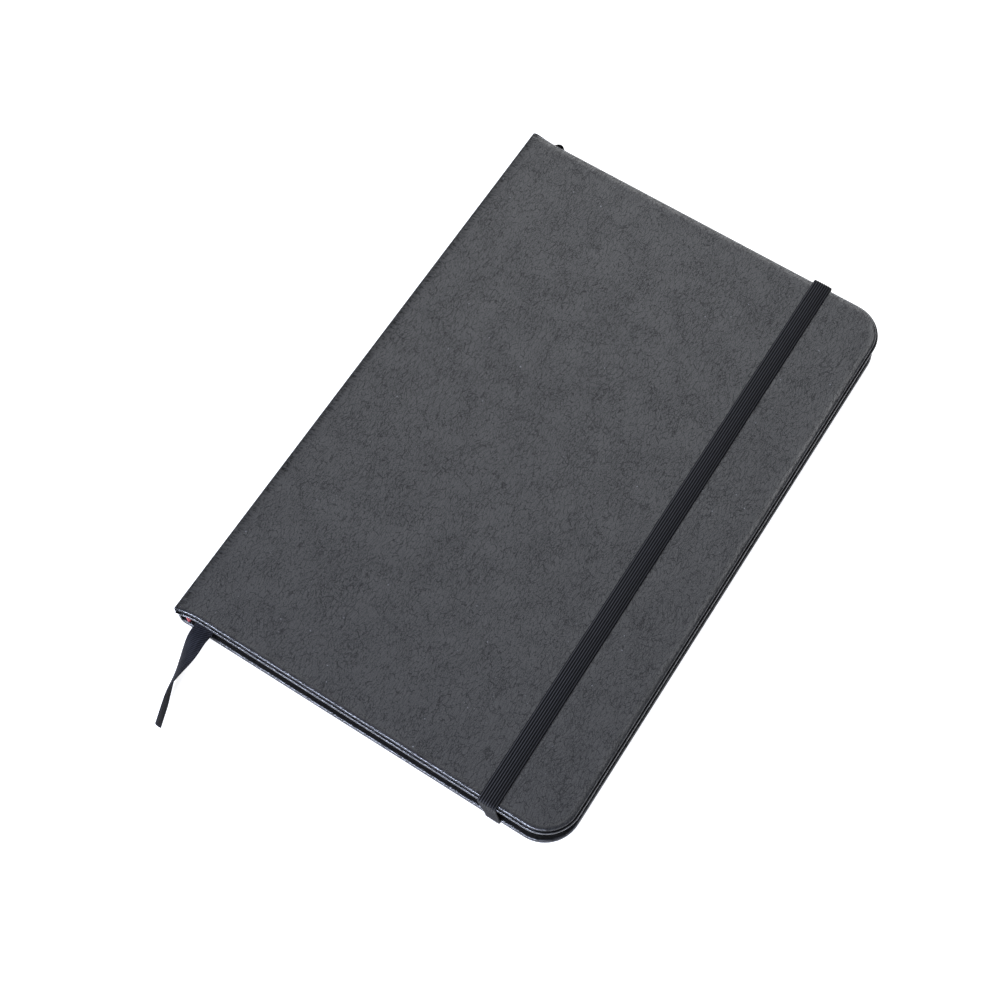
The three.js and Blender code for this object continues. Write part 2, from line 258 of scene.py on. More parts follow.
def quarter(steps, across, down):
    """A quarter-round from (0, down) to (across, 0), as (in from the edge, down from the face) pairs."""
    turns = np.linspace(0, math.pi / 2, steps + 1)
    return [(across * (1 - math.cos(t)), down * (1 - math.sin(t))) for t in turns]


def finish_piece(piece, material, body=None, replaces=()):
    piece.data.materials.append(material)
    if body:
        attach(piece, body)
    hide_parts(*replaces)


# ----------------------------------------------------------------------------------------- shader helpers


def add(tree, kind, inputs=None, **settings):
    """A shader node. An input is given by its name or number, as a value or as another node's output."""
    made = tree.nodes.new(kind)
    for key, value in settings.items():
        setattr(made, key, value)
    for key, value in (inputs or {}).items():
        socket = made.inputs[key]
        if isinstance(value, bpy.types.NodeSocket):
            tree.links.new(value, socket)
        else:
            socket.default_value = value
    return made


def math_node(tree, operation, a, b=0.0):
    return add(tree, "ShaderNodeMath", {0: a, 1: b}, operation=operation).outputs[0]


def plus(tree, a, b):
    return math_node(tree, "ADD", a, b)


def times(tree, a, b):
    return math_node(tree, "MULTIPLY", a, b)


def sine(tree, value, period):
    """A sine of that period."""
    return math_node(tree, "SINE", times(tree, value, 2 * math.pi / period))


def ramp(tree, value, low, high, to_low=0.0, to_high=1.0):
    """value taken smoothly from low..high to to_low..to_high."""
    inputs = {"Value": value, "From Min": low, "From Max": high, "To Min": to_low, "To Max": to_high}
    return add(tree, "ShaderNodeMapRange", inputs, interpolation_type="SMOOTHSTEP").outputs[0]


def mix_colour(tree, factor, a, b, blend="MIX"):
    inputs = {0: factor, 6: a, 7: b}
    return add(tree, "ShaderNodeMix", inputs, data_type="RGBA", blend_type=blend).outputs[2]


def noise(tree, vector, per_mm, detail=2.0, roughness=0.5):
    inputs = {"Vector": vector, "Scale": per_mm, "Detail": detail, "Roughness": roughness}
    return add(tree, "ShaderNodeTexNoise", inputs).outputs["Fac"]


def cell_edges(tree, vector, per_mm):
    """How far a point is from the edge of its cell, in cells."""
    inputs = {"Vector": vector, "Scale": per_mm}
    return add(tree, "ShaderNodeTexVoronoi", inputs, feature="DISTANCE_TO_EDGE").outputs["Distance"]


def scaled(tree, vector, factors):
    return add(tree, "ShaderNodeVectorMath", {0: vector, 1: factors}, operation="MULTIPLY").outputs[0]


def warped(tree, vector, per_mm, reach):
    """vector pushed about by a soft noise, by up to about reach."""
    push = add(tree, "ShaderNodeTexNoise", {"Vector": vector, "Scale": per_mm}).outputs["Color"]
    centred = add(tree, "ShaderNodeVectorMath", {0: push, 1: (0.5, 0.5, 0.5)}, operation="SUBTRACT")
    sized = scaled(tree, centred.outputs[0], (2 * reach,) * 3)
    return add(tree, "ShaderNodeVectorMath", {0: vector, 1: sized}, operation="ADD").outputs[0]


def attribute(tree, name):
    return add(tree, "ShaderNodeAttribute", attribute_name=name).outputs["Fac"]


def separate(tree, vector):
    return add(tree, "ShaderNodeSeparateXYZ", {0: vector}).outputs


def new_material(name, **surface):
    """A Principled material. surface gives its uniform numbers by socket name."""
    material = bpy.data.materials.new(name)
    material.use_nodes = True
    tree = material.node_tree
    shader = tree.nodes["Principled BSDF"]
    for key, value in surface.items():
        shader.inputs[key.replace("_", " ")].default_value = value
    return material, tree, shader


def sheet_position(tree):
    """Where a point lies on its flat sheet, in millimetres."""
    uv = add(tree, "ShaderNodeUVMap", uv_map="flat").outputs[0]
    return scaled(tree, uv, (FLAT_SIZE, FLAT_SIZE, 0))


def row_position(tree):
    """Where a point lies on a rigid piece, in millimetres."""
    return scaled(tree, add(tree, "ShaderNodeTexCoord").outputs["Object"], (1 / MM,) * 3)


def bump(tree, shader, height, distance, strength=1.0):
    made = add(tree, "ShaderNodeBump", {"Height": height, "Distance": distance * MM, "Strength": strength})
    tree.links.new(made.outputs[0], shader.inputs["Normal"])


def paint(tree, shader, colour, roughness):
    tree.links.new(colour, shader.inputs["Base Color"])
    tree.links.new(roughness, shader.inputs["Roughness"])


# ---------------------------------------------------------------------------------------------- materials


def creases(tree, place, turn, strength):
    """Short creases lying roughly one way. 1 in a crease, times strength."""
    turned = (0, 0, math.radians(turn))
    inputs = {"Vector": warped(tree, place, 0.09, 2.2), "Rotation": turned, "Scale": (1, 0.24, 1)}
    laid = add(tree, "ShaderNodeMapping", inputs).outputs[0]
    return times(tree, ramp(tree, cell_edges(tree, laid, 1.1), 0.01, 0.085, 1.0, 0.0), strength)


def crossed_creases(tree, place, dense):
    """Creases that lie one way or the other from place to place, and long broken veins."""
    turning = noise(tree, place, 0.05)
    one_way = creases(tree, place, 40, times(tree, ramp(tree, turning, 0.4, 0.5, 0.25, 1.0), dense))
    other_way = creases(tree, place, -32, times(tree, ramp(tree, turning, 0.5, 0.6, 1.0, 0.25), dense))
    veins = ramp(tree, cell_edges(tree, warped(tree, place, 0.11, 5), 0.055), 0.001, 0.009, 1.0, 0.0)
    broken = ramp(tree, noise(tree, place, 0.2, 3, 0.6), 0.44, 0.6)
    short = math_node(tree, "MAXIMUM", one_way, other_way)
    return math_node(tree, "MAXIMUM", short, times(tree, veins, broken))


def pebble_seams(tree, place):
    """1 between the pebbles of the grain."""
    seams = ramp(tree, cell_edges(tree, warped(tree, place, 0.9, 0.35), 1.8), 0.02, 0.2, 1.0, 0.0)
    patches = ramp(tree, noise(tree, place, 0.09, 3, 0.6), 0.36, 0.6, 0.75, 1.0)
    return times(tree, seams, patches)


def leatherette():
    """Padded leatherette: fine pebbled grain, crossed by short creases that turn from place to place."""
    material, tree, shader = new_material("leatherette")
    place = sheet_position(tree)
    dense = ramp(tree, noise(tree, warped(tree, place, 0.1, 5), 0.11, 3, 0.6), 0.33, 0.62, 0.8, 1.0)
    sunk = times(tree, crossed_creases(tree, place, dense), 0.46)
    sunk = plus(tree, sunk, times(tree, pebble_seams(tree, place), 0.44))
    grain = noise(tree, place, 2.2, 3, 0.6)

    # Fine wrinkles square to the spine where the leather flexes beside it
    across = separate(tree, place)[0]
    joint = times(tree, ramp(tree, across, 1.2, 3.8, 1.0, 0.0), ramp(tree, across, -1.6, -0.4))
    pulled = add(tree, "ShaderNodeMapping", {"Vector": warped(tree, place, 0.25, 1.0), "Scale": (0.2, 1, 1)})
    pleated = ramp(tree, noise(tree, pulled.outputs[0], 2.0, 3, 0.6), 0.4, 0.6)

    height = math_node(tree, "SUBTRACT", times(tree, grain, 0.3), sunk)
    height = plus(tree, height, times(tree, times(tree, pleated, joint), 1.2))
    bump(tree, shader, height, 0.05)

    # Painted shade: hollows, wrinkles, the crease under the padding and the turned-in leather are painted
    # darker, and made duller
    shade = ramp(tree, height, -0.75, 0.12, 0.38, 1.0)
    shade = times(tree, shade, plus(tree, times(tree, dense, 0.14), 0.96))
    # Painted shade: the leather beside the spine is painted darker, most of all in its wrinkles
    painted_joint_shade = mix_colour(tree, pleated, (0.42, 0.42, 0.42, 1), (0.75, 0.75, 0.75, 1))
    shade = times(tree, shade, mix_colour(tree, joint, (1, 1, 1, 1), painted_joint_shade))
    # Painted shade in the crease under the padding, and on the turned-in leather for the shadow between the
    # covers
    shade = times(tree, shade, ramp(tree, attribute(tree, "groove_painted_shade"), 0.0, 1.0, 1.0, 0.15))
    shade = times(tree, shade, ramp(tree, attribute(tree, "turned_in_painted_shade"), 0.0, 1.0, 1.0, 0.22))
    tree.links.new(times(tree, shade, LEATHER_SPECULAR), shader.inputs["Specular IOR Level"])
    # Painted glints: a few pale bluish specks of highlight in the colour
    painted_glints = ramp(tree, noise(tree, place, 1.1, 0), 0.87, 0.885, 0.0, 0.25)
    base = mix_colour(tree, 1.0, LEATHER_COLOUR, shade, "MULTIPLY")
    polish = times(tree, attribute(tree, "edge"), 0.3)
    rough = math_node(tree, "SUBTRACT", ramp(tree, height, -0.6, 0.5, 0.56, 0.46), polish)
    paint(tree, shader, mix_colour(tree, painted_glints, base, LEATHER_GLINT), rough)
    return material


def elastic_weave():
    """Braided elastic: cords side by side with dark furrows between them, crossed by fine threads."""
    material, tree, shader = new_material("elastic_weave", Specular_IOR_Level=0.2)
    place = sheet_position(tree)
    across, along, _ = separate(tree, place)
    turn = times(tree, plus(tree, across, ELASTIC_WIDTH / 2), math.pi * ELASTIC_RIBS / ELASTIC_WIDTH)
    wave = math_node(tree, "SINE", turn)
    cord = times(tree, wave, wave)
    threads = math_node(tree, "SINE", plus(tree, times(tree, along, 2 * math.pi / ELASTIC_THREAD), turn))
    fuzz = noise(tree, place, 2.5, 3, 0.6)
    height = plus(tree, times(tree, threads, 0.25), times(tree, cord, 2.0))
    bump(tree, shader, plus(tree, height, fuzz), 0.06)
    # Painted highlights on the cords and painted shade in the furrows between them
    lit = times(tree, ramp(tree, cord, 0.3, 1.0, 0.03, 3.4), ramp(tree, fuzz, 0.3, 0.7, 0.8, 1.15))
    # Painted shade, growing towards the band's fore-edge side
    lit = times(tree, lit, ramp(tree, across, -1, 3, 1.0, 0.6))
    # Painted shade: darker on the legs and underneath, where the band faces away from above
    facing_up = separate(tree, add(tree, "ShaderNodeNewGeometry").outputs["Normal"])[2]
    lit = times(tree, lit, ramp(tree, facing_up, 0.2, 0.9, 0.25, 1.0))
    base = mix_colour(tree, 1.0, ELASTIC_COLOUR, lit, "MULTIPLY")
    paint(tree, shader, base, ramp(tree, fuzz, 0.3, 0.7, 0.58, 0.74))
    return material


def satin_ribbon():
    """Satin with a fine twill running across it at a slant."""
    material, tree, shader = new_material("satin_ribbon", Specular_IOR_Level=0.1)
    place = sheet_position(tree)
    across, along, _ = separate(tree, place)
    twill = sine(tree, plus(tree, across, times(tree, along, 0.75)), RIBBON_TWILL)
    soft = noise(tree, scaled(tree, place, (1.2, 0.25, 1)), 1.0)
    bump(tree, shader, twill, 0.03)
    tone = plus(tree, ramp(tree, twill, 0, 1, 0.55, 1.5), ramp(tree, soft, 0.3, 0.7, -0.25, 0.25))
    base = mix_colour(tree, 1.0, RIBBON_COLOUR, tone, "MULTIPLY")
    paint(tree, shader, base, ramp(tree, twill, -1, 1, 0.75, 0.62))
    return material


def paper(name, colour, tooth):
    """Uncoated paper: a little mottled, with fibres and tooth."""
    material, tree, shader = new_material(name, Specular_IOR_Level=0.25)
    place = row_position(tree)
    mottle = ramp(tree, noise(tree, place, 0.05, 4, 0.6), 0.3, 0.7)
    fibres = noise(tree, scaled(tree, place, (1.0, 0.35, 1.0)), 2.2, 4, 0.7)
    darker = [c * 0.975 for c in colour[:3]] + [1]
    base = mix_colour(tree, mottle, darker, colour)
    base = mix_colour(tree, 1.0, base, ramp(tree, fibres, 0.25, 0.75, 0.965, 1.02), "MULTIPLY")
    bump(tree, shader, fibres, tooth, 0.5)
    paint(tree, shader, base, ramp(tree, fibres, 0.3, 0.7, 0.84, 0.94))
    return material


def greyboard():
    """Pressed grey pulp with dark flecks."""
    material, tree, shader = new_material("greyboard", Specular_IOR_Level=0.2)
    place = row_position(tree)
    pulp = noise(tree, place, 0.9, 5, 0.7)
    flecks = noise(tree, scaled(tree, place, (1, 1, 3)), 3.5)
    base = mix_colour(tree, ramp(tree, pulp, 0.3, 0.7), (0.36, 0.34, 0.31, 1), (0.5, 0.48, 0.44, 1))
    base = mix_colour(tree, ramp(tree, flecks, 0.66, 0.74), base, (0.2, 0.19, 0.18, 1))
    bump(tree, shader, pulp, 0.06, 0.6)
    paint(tree, shader, base, ramp(tree, pulp, 0.3, 0.7, 0.95, 0.85))
    return material


def woven(name, light, dark, pitch, roughness):
    """Plain-woven cloth or laid threads of that pitch."""
    material, tree, shader = new_material(name, Specular_IOR_Level=0.25, Sheen_Weight=0.2)
    place = row_position(tree)
    x, y, z = separate(tree, place)
    weave = math_node(tree, "MAXIMUM", sine(tree, y, pitch), sine(tree, plus(tree, x, z), pitch))
    slub = noise(tree, place, 1.5, 3)
    shade = times(tree, ramp(tree, weave, -0.6, 1.0), ramp(tree, slub, 0.2, 0.7, 0.75, 1.0))
    bump(tree, shader, weave, 0.08, 0.8)
    rough = ramp(tree, slub, 0.2, 0.8, roughness - 0.08, roughness + 0.05)
    paint(tree, shader, mix_colour(tree, shade, dark, light), rough)
    return material


# -------------------------------------------------------------------------------------------- the leather


def leather_rings():
    """Closed lines round the sheet, each as ((inset, depth) on the covers, (inset, depth) on the spine)."""
    under_board = [(TURN_IN, 0.04), (9, 0.02), (5, 0.01), (2.4, 0)]  # with the glue's thickness
    cover = [(inset, COVER_DEPTH - glue) for inset, glue in under_board]
    cover += [(a, COVER_DEPTH - b) for a, b in reversed(quarter(5, INNER_ROUND, INNER_ROUND))]
    cover += [(a, PADDING_DOWN + GROOVE + b) for a, b in quarter(6, BOARD_ACROSS, BOARD_DOWN)]
    cover += [(BOARD_ACROSS + a, b) for a, b in quarter(6, PADDING_ACROSS, PADDING_DOWN)]
    half = SPINE_LEATHER / 2
    spine = [(inset, SPINE_LEATHER) for inset in (9, 7, 4, 2)]
    spine += [(a, SPINE_LEATHER - b) for a, b in reversed(quarter(5, half, half))]
    spine += quarter(13, half, half)
    flat_insets = [2.2, 2.8, 3.6, 4.6, 6, 8, 10, 12, 14, 15.5, 16.8, 17.4, 17.8, 18.2, 18.8, 20, 23]
    flat_insets += [28, 34, 42, 52, 64, 76, 86, 94, 100, HALF_HEIGHT]
    return list(zip(cover, spine)) + [((inset, 0), (inset, 0)) for inset in flat_insets]


def edge_columns():
    """Places along the head and tail edges, closer together beside the elastic."""
    left = [-4.6, *np.arange(-4, -2.75, 0.25)]
    right = [2.6, *np.arange(3, 7.2, 0.25)]
    near = ELASTIC_X + np.array([*left, -1.4, 0, 1.4, *right])
    joint = [1.5, 2.2, 3, 4, 5.5, 8]
    return np.concatenate([[SPINE_TOP_ROUND], joint, np.arange(12, near[0] - 1, 4), near])


def cover_outline(inset):
    """Points and outward directions of a cover's plan, from the spine at the tail round to the head."""
    half = HALF_HEIGHT - inset
    fore = WIDTH - inset
    radius = min(max(CORNER - inset, 1), half)
    turn_x = fore - radius
    columns = edge_columns()
    start, last = columns[0], columns[-1]
    sliver = 1e-3
    if turn_x >= last:
        xs = np.concatenate([columns, last + (turn_x - last) * np.array([1 / 3, 2 / 3])])
    else:
        squeezed = start + (columns - start) * (turn_x - sliver - start) / (last - start)
        xs = np.concatenate([squeezed, turn_x - sliver * np.array([2 / 3, 1 / 3])])
    rows = [(x, -half, 0, -1) for x in xs]
    for t in np.linspace(-math.pi / 2, 0, CORNER_STEPS + 1):
        c, s = math.cos(t), math.sin(t)
        rows.append((turn_x + radius * c, radius * (1 + s) - half, c, s))
    for y in np.linspace(radius - half, half - radius, FORE_STEPS + 1)[1:-1]:
        rows.append((fore, y, 1, 0))
    for t in np.linspace(0, math.pi / 2, CORNER_STEPS + 1):
        c, s = math.cos(t), math.sin(t)
        rows.append((turn_x + radius * c, half - radius * (1 - s), c, s))
    rows += [(x, half, 0, 1) for x in xs[::-1]]
    return np.array(rows)


def spine_profile():
    """The spine's outer line seen from the tail, from the front cover to the back, as rows of
    (x, z, inward x, inward z). Its points are closest together at the hinge."""
    rows = []
    top = THICKNESS - SPINE_TOP_ROUND
    for t in np.linspace(0, math.pi / 2, 7)[1:]:
        s, c = math.sin(t), math.cos(t)
        rows.append((SPINE_TOP_ROUND * (1 - s), top + SPINE_TOP_ROUND * c, s, -c))
    hinge = HINGE_Z + np.array([0.55, 0.35, 0.2, 0.1, 0, -0.1, -0.2, -0.35, -0.55])
    for z in [12.4, 11.8, *hinge, 9.6, 8.4, 7.2, 6, 4.8]:
        rows.append((0, z, 1, 0))
    for t in np.linspace(0, math.pi / 2, 9)[:-1]:
        s, c = math.sin(t), math.cos(t)
        rows.append((SPINE_LOW_ROUND * (1 - c), SPINE_LOW_ROUND * (1 - s), c, s))
    return np.array(rows)


def elastic_lean(y):
    """How much of its lean the band has at y, where it turns under the tail."""
    return smoothstep(ELASTIC_SLOT + 2, HALF_HEIGHT - 1, -y)


def elastic_skew(y):
    """How far towards the fore edge the band lies at y for lying askew."""
    return ELASTIC_SKEW * (HALF_HEIGHT - y) / (2 * HALF_HEIGHT)


def back_channel(x, y):
    """How deep the elastic's outside runs press into the back cover."""
    aside = np.abs(x - ELASTIC_X - elastic_skew(y) - ELASTIC_LEAN * elastic_lean(y))
    beside = 1 - smoothstep(ELASTIC_WIDTH / 2, ELASTIC_WIDTH / 2 + CHANNEL_SIDE, aside)
    return CHANNEL * beside * smoothstep(ELASTIC_SLOT - 0.7, ELASTIC_SLOT - 0.3, np.abs(y))


def joint_dip(x):
    """The leather falls away a little towards the spine, where no board is close under it."""
    return JOINT_DIP * (1 - smoothstep(SPINE_TOP_ROUND - 1, JOINT_REACH, x))


def corner_flare(x, y):
    """The fold of leather at the spine's two ends stands out past the boards' edges, by more at the tail."""
    near_spine = 1 - smoothstep(SPINE_TOP_ROUND - 1, FLARE_REACH, x)
    return CORNER_FLARE * near_spine * np.where(y > 0, HEAD_FLARE, -1)


def pleats(outline, inset):
    """How far the turned-in leather is gathered up at the round corners."""
    corner = np.abs(outline[:, 2] * outline[:, 3]) * 2
    turn = np.arctan2(np.abs(outline[:, 3]), outline[:, 2])
    rise = smoothstep(*PLEATS_RISE, inset)
    return PLEAT * corner * np.abs(np.sin(turn * PLEATS)) * rise * (1 - smoothstep(*PLEATS_FALL, inset))


def leather_points():
    """The sheet's points as (rings, columns, 3), and their places on the flat sheet."""
    rings = leather_rings()
    spine = spine_profile()
    steps = np.linalg.norm(np.diff(spine[:, :2], axis=0), axis=1)
    run = np.concatenate([[0], np.cumsum(steps)]) + SPINE_SEAM
    spine_length = run[-1] + SPINE_SEAM
    to_spine = smoothstep(0, SPINE_BLEND_TOP, run) * smoothstep(0, SPINE_BLEND_LOW, spine_length - run)
    near_top = 1 - smoothstep(0, DIP_FADE, run)
    on_covers = np.array([ring[0] for ring in rings])
    first_flat = next(i for i, (inset, depth) in enumerate(on_covers) if depth == 0 and inset > 0)
    beyond = np.zeros(len(rings))
    for i in range(first_flat - 1, -1, -1):
        beyond[i] = beyond[i + 1] + np.linalg.norm(on_covers[i] - on_covers[i + 1])
    points, flat = [], []
    for i, ((inset, depth), (spine_inset, spine_depth)) in enumerate(rings):
        outline = cover_outline(inset)
        x, y = outline[:, 0], outline[:, 1]
        lift = pleats(outline, inset) if i < TURN_IN_RINGS else 0
        outer_half = depth < COVER_DEPTH / 2
        flared = max(0, 1 - inset / FLARE_DEPTH)
        front_z = THICKNESS - depth - joint_dip(x) * outer_half + lift
        front = np.c_[x, y + corner_flare(x, y) * flared, front_z]
        back_z = np.maximum(depth, back_channel(x, y)) if outer_half else np.zeros(len(x)) + depth - lift
        back = np.c_[x, y, back_z][::-1]

        reach_in = inset + (spine_inset - inset) * to_spine
        reach_down = depth + (spine_depth - depth) * to_spine
        wall_x = spine[:, 0] + spine[:, 2] * reach_down
        wall_z = spine[:, 1] + spine[:, 3] * reach_down - joint_dip(SPINE_TOP_ROUND) * near_top
        wall_y = HALF_HEIGHT - reach_in
        head = np.c_[wall_x, wall_y + corner_flare(SPINE_TOP_ROUND, 1) * (near_top * flared), wall_z]
        tail = np.c_[wall_x, -wall_y + corner_flare(SPINE_TOP_ROUND, -1) * (near_top * flared), wall_z]
        points.append(np.concatenate([front, head, back, tail[::-1]]))

        flat_inset = on_covers[max(i, first_flat)][0]
        plan = cover_outline(flat_inset)
        front_flat = plan[:, :2] + plan[:, 2:] * beyond[i]
        head_flat = np.c_[-run, np.full(len(run), HALF_HEIGHT - flat_inset + beyond[i])]
        back_flat = front_flat * (-1, 1) - (spine_length - 2 * SPINE_TOP_ROUND, 0)
        flat.append(np.concatenate([front_flat, head_flat, back_flat[::-1], (head_flat * (1, -1))[::-1]]))
    return np.array(points), np.array(flat)


def ring_marks():
    """A number from 0 to 1 for each ring of the sheet, by attribute: edge, round the boards' edges, where
    the leather is stretched smooth; groove, in the crease under the padding, which is painted dark as
    shade; and turned_in_painted_shade, under the boards, painted dark as the shadow in the gap between the
    covers."""
    rings = np.array([ring[0] for ring in leather_rings()])
    insets, depths = rings.T
    round_edge = BOARD_ACROSS + PADDING_ACROSS
    low_padding = smoothstep(0.35 * PADDING_DOWN, 0.8 * PADDING_DOWN, depths)
    return {
        "edge": 1 - smoothstep(round_edge, 2 * round_edge, insets),
        "groove_painted_shade": low_padding * (depths < PADDING_DOWN + GROOVE + 0.1),
        "turned_in_painted_shade": np.where(depths > COVER_DEPTH / 2, smoothstep(0.1, INNER_ROUND, insets), 0.0),
    }


def cover_leather(material):
    """The one sheet of leatherette, turned in all round, from the front cover over the spine to the back."""
    points, flat = leather_points()
    rows, columns, _ = points.shape
    faces = ring_faces(rows, columns)
    piece = mesh_object("cover_leather", points.reshape(-1, 3), faces, flat.reshape(-1, 2) / FLAT_SIZE)
    for name, per_ring in ring_marks().items():
        mark = piece.data.attributes.new(name, "FLOAT", "POINT")
        mark.data.foreach_set("value", np.repeat(per_ring, columns))
    nodes = ["cover_leather_front", "cover_leather_back", "spine_leather"]
    finish_piece(piece, material, replaces=nodes)
    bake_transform(piece)


# ------------------------------------------------------------------------------------ strips: elastic, ribbon


def rounded_path(corners, step=0.9):
    """A polyline of (point, bend radius) corners, with its bends rounded and points about step apart."""
    points = [np.array(p, float) for p, _ in corners]
    line = [points[0]]
    for i in range(1, len(points) - 1):
        before, here, after = points[i - 1], points[i], points[i + 1]
        a = (before - here) / np.linalg.norm(before - here)
        b = (after - here) / np.linalg.norm(after - here)
        half = math.acos(np.clip(a @ b, -1, 1)) / 2
        back_off = corners[i][1] / math.tan(half)
        start, end = here + a * back_off, here + b * back_off
        for t in np.linspace(0, 1, 9):
            line.append((1 - t) ** 2 * start + 2 * t * (1 - t) * here + t**2 * end)
    line.append(points[-1])
    dense = [line[0]]
    for p, q in zip(line[:-1], line[1:]):
        count = max(1, int(np.linalg.norm(q - p) / step))
        dense += [p + (q - p) * k / count for k in range(1, count + 1)]
    return np.array(dense)


def smooth_route(points, count):
    """A Catmull-Rom curve through points."""
    p = np.asarray(points, float)
    p = np.concatenate([[2 * p[0] - p[1]], p, [2 * p[-1] - p[-2]]])
    made = []
    spans = len(p) - 3
    for k in range(count):
        place = k / (count - 1) * spans
        i = min(int(place), spans - 1)
        t = place - i
        a, b, c, d = p[i : i + 4]
        bend = (2 * a - 5 * b + 4 * c - d) * t**2 + (3 * b - a - 3 * c + d) * t**3
        made.append(0.5 * (2 * b + (c - a) * t + bend))
    return np.array(made)


def strip(name, path, widths, section, gathered=1.0):
    """A flat strip along path, with its length. widths is the direction across it at each point of the path,
    section its (across, out) outline, and gathered the share of its width that it keeps at each point."""
    tangents = np.gradient(path, axis=0)
    tangents /= np.linalg.norm(tangents, axis=1)[:, None]
    widths = widths - tangents * np.sum(widths * tangents, axis=1)[:, None]
    widths /= np.linalg.norm(widths, axis=1)[:, None]
    out = np.cross(widths, tangents)
    across, up = section[:, 0], section[:, 1]
    spread = np.broadcast_to(gathered, len(path))[:, None] * across[None, :]
    points = path[:, None] + widths[:, None] * spread[:, :, None] + out[:, None] * up[None, :, None]
    run = np.concatenate([[0], np.cumsum(np.linalg.norm(np.diff(path, axis=0), axis=1))])
    flat = np.stack(np.broadcast_arrays(across[None, :], run[:, None]), axis=-1)
    rows, columns = len(path), len(section)
    faces = ring_faces(rows, columns) + end_faces(rows, columns)
    return mesh_object(name, points.reshape(-1, 3), faces, flat.reshape(-1, 2) / FLAT_SIZE), run[-1]


def ribbed_section(width, thickness, ribs):
    """The outline of a ribbed band, thinner towards its edges."""
    across = np.linspace(-width / 2, width / 2, ribs * 6 + 1)
    rib = np.abs(np.sin(np.pi * ribs * (across / width + 0.5))) ** 0.7
    rise = thickness / 2 * (0.5 + 0.5 * rib) * (1 - 0.35 * np.abs(2 * across / width) ** 4)
    rise[[0, -1]] = thickness * 0.12
    return np.concatenate([np.c_[across, rise], np.c_[across, -rise][::-1]])


def elastic_route():
    """The band's middle line in (y, z), between its tabs inside the back cover, from tail to head."""
    low = ELASTIC_LOOSE + ELASTIC / 2
    leg = HALF_HEIGHT + ELASTIC_LOOSE + ELASTIC / 2
    top = THICKNESS + ELASTIC / 2 - ELASTIC_SUNK
    tab = COVER_DEPTH - ELASTIC / 2
    head = [((ELASTIC_TAB_END, tab), 0), ((ELASTIC_SLOT, tab), 0.5), ((ELASTIC_SLOT, low), 0.5)]
    head += [((leg, low), 0.9), ((leg, top), 1.1)]
    tail = [((-y, z), r) for (y, z), r in head]
    return rounded_path(tail + head[::-1])


def elastic_band(material):
    """The elastic, one strip from tab to tab, over the covers' edges and under the back cover."""
    route = elastic_route()
    y, z = route[:, 0], route[:, 1]
    turned_under = elastic_lean(y) * (1 - smoothstep(1.5, THICKNESS, z))
    path = np.c_[ELASTIC_X + elastic_skew(y) + ELASTIC_LEAN * turned_under, route]
    widths = np.tile((1.0, 0, 0), (len(path), 1))
    section = ribbed_section(ELASTIC_WIDTH, ELASTIC, ELASTIC_RIBS)
    piece, _ = strip("elastic_band", path, widths, section, 1 - ELASTIC_GATHER * turned_under)
    nodes = ["elastic_front_strand", "elastic_head_leg", "elastic_tail_leg"]
    nodes += ["elastic_back_head", "elastic_back_tail"]
    finish_piece(piece, material, replaces=nodes)
    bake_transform(piece)


def ribbon_section(cup=0.0):
    """The ribbon's outline, bowed by cup at its edges."""
    across = np.linspace(-RIBBON_WIDTH / 2, RIBBON_WIDTH / 2, 15)
    bow = cup * (2 * across / RIBBON_WIDTH) ** 2
    half = np.full(len(across), RIBBON / 2)
    half[[0, -1]] = RIBBON * 0.3
    return np.concatenate([np.c_[across, bow + half], np.c_[across, bow - half][::-1]])


def ribbon_tail(material):
    """The free end of the ribbon: flat where it leaves the pages, then turning on to its edge."""
    path = smooth_route(RIBBON_ROUTE, 40)
    turned = np.radians(RIBBON_TURN) * smoothstep(RIBBON_TURNS_FROM, RIBBON_TURNS_TO, -path[:, 1])
    widths = np.c_[np.cos(turned), 0 * turned, np.sin(turned)]
    piece, length = strip("ribbon_tail_satin", path, widths, ribbon_section(RIBBON_CUP))
    finish_piece(piece, material, body="book", replaces=["ribbon_tail"])


def ribbon_head(material):
    """The ribbon's slack at the head: from the spine, out past the cover's edge, and into the pages."""
    path = smooth_route(RIBBON_LOOP, 44)
    share = np.linspace(0, 1, len(path))
    flatten = smoothstep(0.55, 0.85, share)
    widths = np.c_[-flatten, 0.0 * share, 0.75 * (1 - flatten) + 0.02]
    piece, _ = strip("ribbon_head_satin", path, widths, ribbon_section() * (RIBBON_LOOP_SQUEEZE, 1))
    finish_piece(piece, material, body="book", replaces=["ribbon_head_loop"])


# ------------------------------------------------------------------------------------------- the text block


def add_prism(points, faces, low, high):
    """Adds the prism between two like outlines to points and faces."""
    first, count = len(points), len(low)
    points += low + high
    faces.append(tuple(first + i for i in range(count))[::-1])
    faces.append(tuple(first + count + i for i in range(count)))
    for i in range(count):
        j = (i + 1) % count
        faces.append((first + i, first + j, first + count + j, first + count + i))


def leaf_outline(x0, x1, half):
    """A leaf's plan, with round corners at the fore edge."""
    turns = np.linspace(0, math.pi / 2, 9)
    corner_x = x1 - LEAF_CORNER
    rows = [(x0, -half), (corner_x, -half)]
    rows += [(corner_x + LEAF_CORNER * math.sin(t), LEAF_CORNER * (1 - math.cos(t)) - half) for t in turns]
    rows += [(corner_x + LEAF_CORNER * math.cos(t), half - LEAF_CORNER * (1 - math.sin(t))) for t in turns]
    return rows + [(corner_x, half), (x0, half)]


